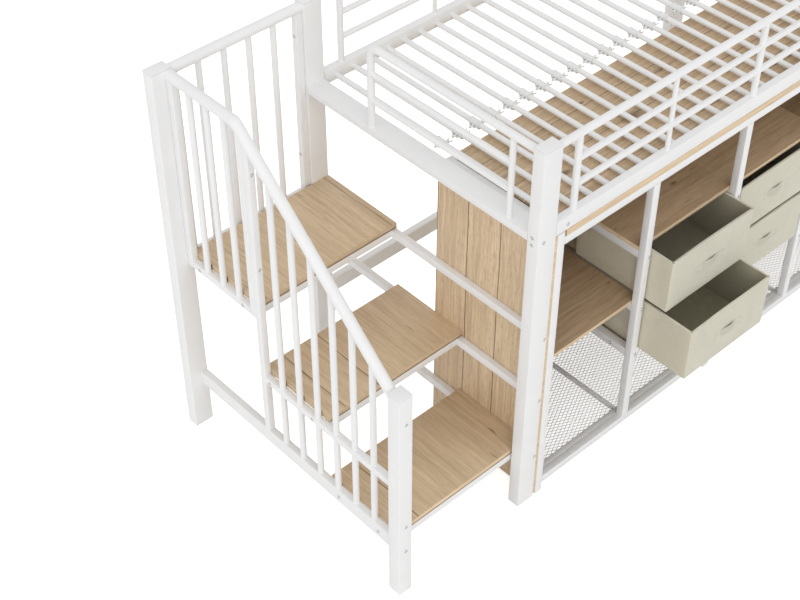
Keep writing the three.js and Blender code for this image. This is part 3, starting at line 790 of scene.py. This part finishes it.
def make_end_guards():
    low, high = node_box("guard_end_left")
    x = (low.x + high.x) / 2
    foot, near, far, top = low.z, END_GUARD_NEAR, END_LOOP_FAR, END_GUARD_TOP
    mesh = bmesh.new()
    add_bent_bar(mesh, [(x, far, foot), (x, far, top), (x, low.y, top)], GUARD_BEND, GUARD_TOP_BAR)
    add_weld(mesh, x, far, foot, GUARD_TOP_BAR)
    add_upright(mesh, x, near, foot, top, GUARD_BAR)
    for z in END_GUARD_BARS:
        add_bar(mesh, (x, near, z), (x, far, z), GUARD_BAR)
    painted("end_guard_loop", mesh, ["guard_end_left"])

    low, high = node_box("guard_end_right")
    x = (low.x + high.x) / 2
    far = BED_DEPTH - near
    mesh = bmesh.new()
    add_bar(mesh, (x, low.y, top), (x, high.y, top), GUARD_TOP_BAR)
    for z in END_GUARD_BARS:
        add_bar(mesh, (x, near, z), (x, far, z), GUARD_BAR)
    for y in (near, far):
        add_upright(mesh, x, y, foot, top, GUARD_BAR)
    painted("end_guard_full", mesh, ["guard_end_right"])


# Stair panels


HANDRAIL = 36.0
HANDRAIL_TOP = 1465
HANDRAIL_LOW = 861
HANDRAIL_CORNER = 708
HANDRAIL_BEND = 19
BALUSTER = 21.0
PANEL_TUBE = 25.0
PANEL_TUBE_TOP = HANDRAIL_TOP - 2
PANEL_SPLIT = 673.5
NEWEL = 52
PANEL_X = -510
BACK_PANEL_Y = 1040
BACK_PANEL_LEFT = -497
UPPER_PANEL_BACK = 1019
UPPER_STILE_TOP = 1432
UPPER_RAIL = (738.5, 763.5)
LOWER_RAIL = (471, 496)
LOWER_PANEL_FOOT = 242
LOWER_BALUSTER_PITCH = 86.3


def handrail_height(y):
    return HANDRAIL_LOW + (y - NEWEL) * (HANDRAIL_TOP - HANDRAIL_LOW) / (HANDRAIL_CORNER - NEWEL)


def make_back_panel():
    y = BACK_PANEL_Y
    half = PANEL_TUBE / 2
    foot, top = UPPER_RAIL
    left, right = BACK_PANEL_LEFT, -PANEL_TUBE
    mesh = bmesh.new()
    add_bar(mesh, (left, y, HANDRAIL_TOP), (0, y, HANDRAIL_TOP), HANDRAIL)
    add_tube(mesh, (left + PANEL_TUBE, y - half, foot), (right, y + half, top))
    for x in (left, right):
        add_tube(mesh, (x, y - half, foot), (x + PANEL_TUBE, y + half, PANEL_TUBE_TOP))
    for number in range(1, 5):
        x = left + half + (right - left) * number / 5
        add_upright(mesh, x, y, top, HANDRAIL_TOP, BALUSTER)
    painted("back_stair_panel", mesh, ["stair_guard_back"])


def on_handrail(y):
    """A point on the middle line of the sloping handrail."""
    return PANEL_X, y, handrail_height(y)


def make_upper_panel():
    """The upper stair panel. Its handrail is bent too long and then cut where the panels meet."""
    x = PANEL_X
    half = PANEL_TUBE / 2
    foot, top = UPPER_RAIL
    front, back = PANEL_SPLIT + PANEL_TUBE, UPPER_PANEL_BACK - PANEL_TUBE
    mesh = bmesh.new()
    bent = [(x, UPPER_PANEL_BACK, HANDRAIL_TOP), (x, HANDRAIL_CORNER, HANDRAIL_TOP), on_handrail(600)]
    add_bent_bar(mesh, bent, HANDRAIL_BEND, HANDRAIL)
    trim(mesh, (x, PANEL_SPLIT, 0), (0, -1, 0))
    add_tube(mesh, (x - half, front, foot), (x + half, back, top))
    add_tube(mesh, (x - half, back, foot), (x + half, UPPER_PANEL_BACK, PANEL_TUBE_TOP))
    add_tube(mesh, (x - half, PANEL_SPLIT, foot), (x + half, front, UPPER_STILE_TOP))
    first, last = PANEL_SPLIT + half, UPPER_PANEL_BACK - half
    for number in range(1, 4):
        y = first + (last - first) * number / 4
        add_upright(mesh, x, y, top, HANDRAIL_TOP, BALUSTER)
    painted("upper_stair_panel", mesh, ["stair_guard_upper"])


def make_lower_panel():
    """The lower stair panel. Its handrail is made too long and then cut at both ends."""
    x = PANEL_X
    half = PANEL_TUBE / 2
    foot = LOWER_PANEL_FOOT
    rail_foot, rail_top = LOWER_RAIL
    mesh = bmesh.new()
    add_bar(mesh, on_handrail(-20), on_handrail(740), HANDRAIL)
    trim(mesh, (x, PANEL_SPLIT, 0), (0, 1, 0))
    trim(mesh, (x, NEWEL, 0), (0, -1, 0))
    stile = PANEL_SPLIT - PANEL_TUBE
    add_tube(mesh, (x - half, stile, foot), (x + half, PANEL_SPLIT, handrail_height(stile)))
    add_tube(mesh, (x - half, NEWEL, rail_foot), (x + half, stile, rail_top))
    for number in range(1, 7):
        y = stile + half - LOWER_BALUSTER_PITCH * number
        add_upright(mesh, x, y, foot, rail_foot, BALUSTER)
        add_upright(mesh, x, y, rail_top, handrail_height(y), BALUSTER)
    painted("lower_stair_panel", mesh, ["stair_guard_lower"])


# Shelf unit


OUTER_FRONT_TOP = 1148
INNER_TOP = 1096
DIVIDER_BAR_TOPS = (382, 588, 819)
BOTTOM_BAR = (39, 69)
BOTTOM_FLAT = (49, 71)
FLAT_THICK = 4
RUNNER_TOPS = (377.7, 602.7)
RUNNER_WIDTH = 22
RUNNER_LEG = 24
RUNNER_THICK = 2
RUNNER_GAP = 0.5


def make_dividers():
    """Ladder frames between the bays. Those that stand on the bottom rails have a flat bar at their foot."""
    inner_front, inner_back = UNIT_FRONT[1], UNIT_REAR[0]
    for number, left in enumerate(DIVIDERS):
        name = f"unit_divider_{number + 1}"
        full_top = node_box(name)[1].z
        right = left + DIVIDER_WIDTH
        outer = left in (DIVIDERS[0], DIVIDERS[-1])
        on_rails = number % 2 == 1
        foot = BOTTOM_BAR[1] if on_rails else GLIDE_THICK
        front_top = OUTER_FRONT_TOP if outer else INNER_TOP
        rear_top = full_top if outer else INNER_TOP
        mesh = bmesh.new()
        add_tube(mesh, (left, UNIT_FRONT[0], foot), (right, UNIT_FRONT[1], front_top))
        add_tube(mesh, (left, UNIT_REAR[0], foot), (right, UNIT_REAR[1], rear_top))
        for top in (*DIVIDER_BAR_TOPS, full_top):
            add_tube(mesh, (left, inner_front, top - DIVIDER_WIDTH), (right, inner_back, top))
        if on_rails:
            side = left + (DIVIDER_WIDTH - FLAT_THICK) / 2
            low, high = BOTTOM_FLAT
            add_block(mesh, (side, inner_front, low), (side + FLAT_THICK, inner_back, high), 0.8)
        else:
            add_tube(mesh, (left, inner_front, BOTTOM_BAR[0]), (right, inner_back, BOTTOM_BAR[1]))
        painted(f"ladder_frame_{number + 1}", mesh, [name])


def make_runners():
    """Angle strips on both sides of the two bays with drawers."""
    front, back = UNIT_FRONT[1] + RUNNER_GAP, UNIT_REAR[0] - RUNNER_GAP
    mesh = bmesh.new()
    for bay in (1, 2):
        for face, way in ((BAYS[bay][0], 1), (BAYS[bay][1], -1)):
            for top in RUNNER_TOPS:
                flat = sorted((face, face + way * RUNNER_WIDTH))
                leg = sorted((face, face + way * RUNNER_THICK))
                add_block(mesh, (flat[0], front, top - RUNNER_THICK), (flat[1], back, top), 0.5)
                add_block(mesh, (leg[0], front, top - RUNNER_LEG), (leg[1], back, top - 1), 0.5)
    piece("drawer_runners", mesh, [RUNNER_PLASTIC])


def make_unit_rails():
    for row in ("front", "rear"):
        for rail in (f"top_rail_{row}", f"bottom_rail_{row}_left", f"bottom_rail_{row}_right"):
            make_tube(f"unit_{rail}")


# Boards


TOP_BOARD_GAP = 3.5


def make_board(name, node, wood, flat_axis, edge=EDGE_OAK_HIGHLIGHT, end=EDGE_OAK_HIGHLIGHT, inside=0, gap=0.0):
    """A board whose narrow sides carry edge bands, the left and right ones one of their own.

    The flat side that inside points to, forward or backward along the axis, faces into the unit and gets
    darker oak as painted shade.
    A gap leaves the board that much short of its place at its left and right end.
    """
    low, high = node_box(node)
    mesh = bmesh.new()
    add_block(mesh, (low.x + gap, low.y, low.z), (high.x - gap, high.y, high.z))
    mesh.normal_update()
    for face in mesh.faces:
        if abs(face.normal[flat_axis]) < 0.5:
            face.material_index = 2 if abs(face.normal.x) > 0.7 else 1
        elif face.normal[flat_axis] * inside > 0.5:
            face.material_index = 3
    piece(name, mesh, [wood, edge, end, SHADED_INSIDE_OAK], nodes=[node])


def make_boards():
    for step in STEPS:
        node = f"step_board_{step}"
        make_board(f"oak_step_{step}", node, STEP_OAK[step], 2, STEP_EDGE_PAINTED_LIGHT[step], STEP_END_BALUSTER_SHADOWS[step])
    for bay in BAY_NUMBERS:
        make_board(f"oak_shelf_{bay}", f"shelf_bay_{bay}", SHADED_SHELF_OAK, 2)
    for side, inside in (("left", 1), ("right", -1)):
        make_board(f"oak_side_{side}", f"side_panel_{side}", PANEL_OAK, 0, inside=inside)
    make_board("oak_back", "unit_back_panel", BACK_OAK, 1, inside=-1)
    # The top board's ends get the darker oak: a painted shadow line beside the ledge.
    make_board("oak_top", "unit_top_board", TOP_OAK, 2, end=SHADED_INSIDE_OAK, gap=TOP_BOARD_GAP)


# Pierced floors: staggered diamond holes inside a flat rim


# Width and depth of one diamond, with its strand.
MESH_CELL = (27.1, 13.7)
MESH_STRAND = 1.75
NET_THICK = 1.0
NET_DROP = 0.5
MESH_RIM = 20.0
RIM_THICK = 4.0
# Rims of the sides that end at the flat bar of a ladder frame, by the number of the floor.
NARROW_LEFT_RIM = {2: 9.0, 4: 7.0}
NARROW_RIGHT_RIM = {1: 7.0, 3: 9.0}
NET_UNDER_RIM = 5
LEDGE_GAP = 0.5
LEDGE_BACK = 19.5
LEDGE_FRONT = 3.5
LEDGE_TOP = 68.8


def make_floor_net(number):
    low, high = node_box(f"mesh_floor_{number}")
    top = high.z
    mesh = bmesh.new()
    wide = max(high.x - low.x, high.y - low.y) * 1.5
    cells = int(wide / (min(MESH_CELL) / math.sqrt(2)))
    bmesh.ops.create_grid(mesh, x_segments=cells, y_segments=cells, size=cells / 2)
    bmesh.ops.rotate(mesh, verts=mesh.verts, cent=(0, 0, 0), matrix=Matrix.Rotation(math.pi / 4, 3, "Z"))
    step = Vector((MESH_CELL[0] / math.sqrt(2), MESH_CELL[1] / math.sqrt(2), 1.0)) * MM
    bmesh.ops.scale(mesh, verts=mesh.verts, vec=step)
    net_foot = top - NET_THICK - NET_DROP
    bmesh.ops.translate(mesh, verts=mesh.verts, vec=at((low.x + high.x) / 2, (low.y + high.y) / 2, net_foot))
    left_rim = NARROW_LEFT_RIM.get(number, MESH_RIM)
    right_rim = NARROW_RIGHT_RIM.get(number, MESH_RIM)
    inner_low = at(low.x + left_rim - NET_UNDER_RIM, low.y + MESH_RIM - NET_UNDER_RIM, 0)
    inner_high = at(high.x - right_rim + NET_UNDER_RIM, high.y - MESH_RIM + NET_UNDER_RIM, 0)
    outside = []
    for face in mesh.faces:
        centre = face.calc_center_median()
        inside_x = inner_low.x < centre.x < inner_high.x
        inside_y = inner_low.y < centre.y < inner_high.y
        if not (inside_x and inside_y):
            outside.append(face)
    bmesh.ops.delete(mesh, geom=outside, context="FACES")
    holes = mesh.faces[:]
    bmesh.ops.inset_individual(mesh, faces=holes, thickness=MESH_STRAND / 2 * MM, use_even_offset=True)
    bmesh.ops.delete(mesh, geom=holes, context="FACES")
    made = bmesh.ops.extrude_face_region(mesh, geom=mesh.faces[:], use_keep_orig=True)["geom"]
    bmesh.ops.translate(mesh, verts=only(bmesh.types.BMVert, made), vec=(0, 0, NET_THICK * MM))
    bmesh.ops.recalc_face_normals(mesh, faces=mesh.faces)
    for x0, x1, y0, y1 in (
        (low.x, high.x, low.y, low.y + MESH_RIM),
        (low.x, high.x, high.y - MESH_RIM, high.y),
        (low.x, low.x + left_rim, low.y + MESH_RIM, high.y - MESH_RIM),
        (high.x - right_rim, high.x, low.y + MESH_RIM, high.y - MESH_RIM),
    ):
        add_block(mesh, (x0, y0, top - RIM_THICK), (x1, y1, top), 0.5)
    painted(f"pierced_floor_{number}", mesh, [f"mesh_floor_{number}"])


def make_floor_ledges():
    """Strips that lie on the front rims, level with the top of the bottom rail."""
    mesh = bmesh.new()
    for number in BAY_NUMBERS:
        low, high = node_box(f"mesh_floor_{number}")
        corner = (high.x - LEDGE_GAP, low.y + LEDGE_BACK, LEDGE_TOP)
        add_block(mesh, (low.x + LEDGE_GAP, low.y - LEDGE_FRONT, high.z), corner, 0.3)
    painted("floor_ledges", mesh)


# Fabric drawers


DRAWER_WALL = 7.0
CLOTH_INSET = 1.2
CLOTH_PARTS = 14
RIPPLE_START = {"left": 7.0, "right": 3.0}
WALL_BOW = 2.1
HEM = 13
STITCH_PITCH = 6.0
STITCH_LENGTH = 3.6
STITCH_DEPTH = 1.4
STITCH_HEIGHT = 0.9
STITCH_INSET = 0.7
STRAP_ROOM = 10
STRAP_LENGTH = 136
STRAP_WIDTH = 30
STRAP_THICK = 2.2
STRAP_BOW = 8.6
STRAP_MIDDLE = 103
STRAP_SEAM = 52
STRAP_STITCH = 2.8
STRAP_STITCH_PITCH = 4.2
STRAP_FACE = 3.3


def make_drawer(side, level):
    low, high = node_box(f"drawer_{side}_{level}")
    low = low + Vector((0, STRAP_ROOM, 0))
    make_cloth(side, level, low, high)
    make_stitches(side, level, low, high)
    make_handle(side, level, low, high)


def make_cloth(side, level, low, high):
    """The floor and four walls of a drawer, open at the top, with a darker linen on the inside faces."""
    low = low + Vector((CLOTH_INSET, CLOTH_INSET, 0.2))
    high = high - Vector((CLOTH_INSET, CLOTH_INSET, 0.3))
    mesh = bmesh.new()
    round_off(mesh, along_axis(add_box(mesh, low, high), 2), 4, 3)
    low, high = at(*low), at(*high)
    floor_edges = [edge for edge in mesh.edges if max(vert.co.z for vert in edge.verts) < low.z + MM]
    round_off(mesh, floor_edges, 3, 2)
    lid = [face for face in mesh.faces if face.normal.z > 0.9]
    bmesh.ops.delete(mesh, geom=lid, context="FACES_ONLY")
    for axis in range(3):
        across = Vector((0, 0, 0))
        across[axis] = 1.0
        for share in range(1, CLOTH_PARTS):
            point = low.copy()
            point[axis] += (high[axis] - low[axis]) * share / CLOTH_PARTS
            bmesh.ops.bisect_plane(mesh, geom=whole(mesh), plane_co=point, plane_no=across)
    slacken(mesh, low, high, RIPPLE_START[side])
    made = bmesh.ops.solidify(mesh, geom=mesh.faces[:], thickness=DRAWER_WALL * MM)["geom"]
    mesh.normal_update()
    # Walls facing left or right get the shaded copy of the linen: painted shade.
    for face in mesh.faces:
        face.material_index = 2 if abs(face.normal.x) > 0.7 else 0
    # The inside faces get the darker linen.
    for face in only(bmesh.types.BMFace, made):
        face.material_index = 1
    node = f"drawer_{side}_{level}"
    piece(f"linen_{side}_{level}", mesh, [LINEN, INSIDE_LINEN, SHADED_SIDE_LINEN], node, [node], 40.0)


def slacken(mesh, low, high, phase):
    """Lets the cloth walls bow in a little between their corners, with a slight ripple."""
    size = high - low
    for vert in mesh.verts:
        share = Vector((vert.co[axis] - low[axis]) / size[axis] for axis in range(3))
        fade = [math.sin(math.pi * min(1.0, max(0.0, share[axis]))) for axis in range(3)]
        ripple = 0.5 + 0.5 * math.sin(phase + 9.0 * share.x + 7.0 * share.y + 4.0 * share.z)
        depth = (1.6 + 0.9 * ripple) * MM * (0.35 + 0.65 * share.z)
        for axis, other in ((0, 1), (1, 0)):
            if share[axis] < 0.004:
                vert.co[axis] += depth * fade[other]
            elif share[axis] > 0.996:
                vert.co[axis] -= depth * fade[other]


def stitch_places(start, stop):
    """The place of each stitch along one wall, and how far the wall bows in there."""
    for number in range(int((stop - start - 30) / STITCH_PITCH)):
        place = start + 15 + number * STITCH_PITCH
        yield place, WALL_BOW * math.sin(math.pi * (place - start) / (stop - start))


def make_stitches(side, level, low, high):
    """A row of stitches under the hem, on the front and both sides."""
    mesh = bmesh.new()
    foot = high.z - HEM
    top = foot + STITCH_HEIGHT
    for x, bow in stitch_places(low.x, high.x):
        y = low.y + STITCH_INSET + bow
        add_block(mesh, (x, y, foot), (x + STITCH_LENGTH, y + STITCH_DEPTH, top), 0.3, 1)
    for y, bow in stitch_places(low.y, high.y):
        for x in (low.x + STITCH_INSET + bow, high.x - STITCH_INSET - STITCH_DEPTH - bow):
            add_block(mesh, (x, y, foot), (x + STITCH_DEPTH, y + STITCH_LENGTH, top), 0.3, 1)
    piece(f"stitches_{side}_{level}", mesh, [THREAD], f"drawer_{side}_{level}")


def make_handle(side, level, low, high):
    """A webbing strap, sewn down at both ends and bowed out between them."""
    middle = (low.x + high.x) / 2
    z = low.z + STRAP_MIDDLE
    face = low.y + STRAP_FACE
    mesh = bmesh.new()
    bmesh.ops.create_grid(mesh, x_segments=34, y_segments=4, size=0.5)
    bmesh.ops.rotate(mesh, verts=mesh.verts, cent=(0, 0, 0), matrix=Matrix.Rotation(math.pi / 2, 3, "X"))
    bmesh.ops.scale(mesh, verts=mesh.verts, vec=(STRAP_LENGTH * MM, 1.0, STRAP_WIDTH * MM))
    for vert in mesh.verts:
        share = abs(vert.co.x) / (STRAP_LENGTH / 2 * MM)
        lift = 0.5 + 0.5 * math.cos(math.pi * min(1.0, share / 0.72))
        vert.co.y = -lift * STRAP_BOW * MM
    bmesh.ops.translate(mesh, verts=mesh.verts, vec=at(middle, face, z))
    bmesh.ops.recalc_face_normals(mesh, faces=mesh.faces)
    bmesh.ops.solidify(mesh, geom=mesh.faces[:], thickness=STRAP_THICK * MM)
    for way in (-1, 1):
        for number in range(4):
            x = middle + way * (STRAP_SEAM + number * STRAP_STITCH_PITCH)
            left, right = sorted((x, x + way * STRAP_STITCH))
            for foot in (z - 12, z + 11.2):
                add_block(mesh, (left, face - 3.0, foot), (right, face - 1.6, foot + STITCH_HEIGHT), 0.25, 1)
    piece(f"strap_{side}_{level}", mesh, [THREAD], f"drawer_{side}_{level}", crease=50.0)


# Bolts with a round socket


BOLT_WIDTH = 12.0
BOLT_CROWN = 9.6
BOLT_HEIGHT = 3.2
SOCKET_RIM = 1.56
SOCKET_DEPTH = 1.8


def add_bolt(mesh, place, outward):
    outward = Vector(outward)
    middle = at(*place) + outward * (BOLT_HEIGHT / 2 * MM)
    head = bmesh.ops.create_cone(
        mesh,
        cap_ends=True,
        segments=16,
        radius1=BOLT_WIDTH / 2 * MM,
        radius2=BOLT_CROWN / 2 * MM,
        depth=BOLT_HEIGHT * MM,
        matrix=standing(middle, outward),
    )
    faces = {face for vert in head["verts"] for face in vert.link_faces}
    crown = [face for face in faces if (face.calc_center_median() - middle).dot(outward) > 1.5 * MM]
    bmesh.ops.inset_region(mesh, faces=crown, thickness=SOCKET_RIM * MM)
    bmesh.ops.translate(mesh, verts=list(crown[0].verts), vec=-outward * SOCKET_DEPTH * MM)


def make_bolts():
    """Every bolt head, by its place and the way it faces."""
    front, left, right, back = (0, -1, 0), (-1, 0, 0), (1, 0, 0), (0, 1, 0)
    places = [((61.5, 0, z), front) for z in (747, 475, 211)]
    places += [((20.5, 0, 1158), front), ((0, 25.6, 1172), left), ((0, 25.6, 1145), left)]
    places += [((1947.5, 0, 1158), front), ((1968, 25.6, 1172), right), ((1968, 25.6, 1145), right)]
    places += [((121, 0, 1172), front), ((1847, 0, 1172), front)]
    places += [((PANEL_X, 0, z), front) for z in (784, 324, 208)]
    outside = PANEL_X - PANEL_TUBE / 2
    for z, pair in ((212, (113, 301)), (484, (417, 626)), (752, (735, 954))):
        places += [((outside, y, z), left) for y in pair]
    places += [((PANEL_X, PANEL_SPLIT - PANEL_TUBE, z), front) for z in (1310, 948)]
    for z in (1370, 911):
        places += [((-PANEL_TUBE, BACK_PANEL_Y, z), left)]
        places += [((BACK_PANEL_LEFT + PANEL_TUBE, BACK_PANEL_Y, z), right)]
    for x in (537, 991, 1445):
        places += [((x, 0, z), front) for z in (796, 569, 362)]
    places += [((515, 90, 369), left), ((1453, 90, 369), right)]
    for x in (36.5, 1931.5):
        places += [((x, BED_DEPTH, z), back) for z in (1176, 277)]
    mesh = bmesh.new()
    for place, outward in places:
        add_bolt(mesh, place, outward)
    piece("bolts", mesh, [STEEL], crease=25.0)


set_camera()
set_light()
set_floor()
make_posts()
make_rails()
make_slats()
make_long_guard("guard_front", "front_guard")
make_long_guard("guard_back", "back_guard")
make_end_guards()
make_back_panel()
make_upper_panel()
make_lower_panel()
make_dividers()
make_runners()
make_unit_rails()
make_boards()
for floor_number in BAY_NUMBERS:
    make_floor_net(floor_number)
make_floor_ledges()
for drawer_side, drawer_level in DRAWERS:
    make_drawer(drawer_side, drawer_level)
make_bolts()
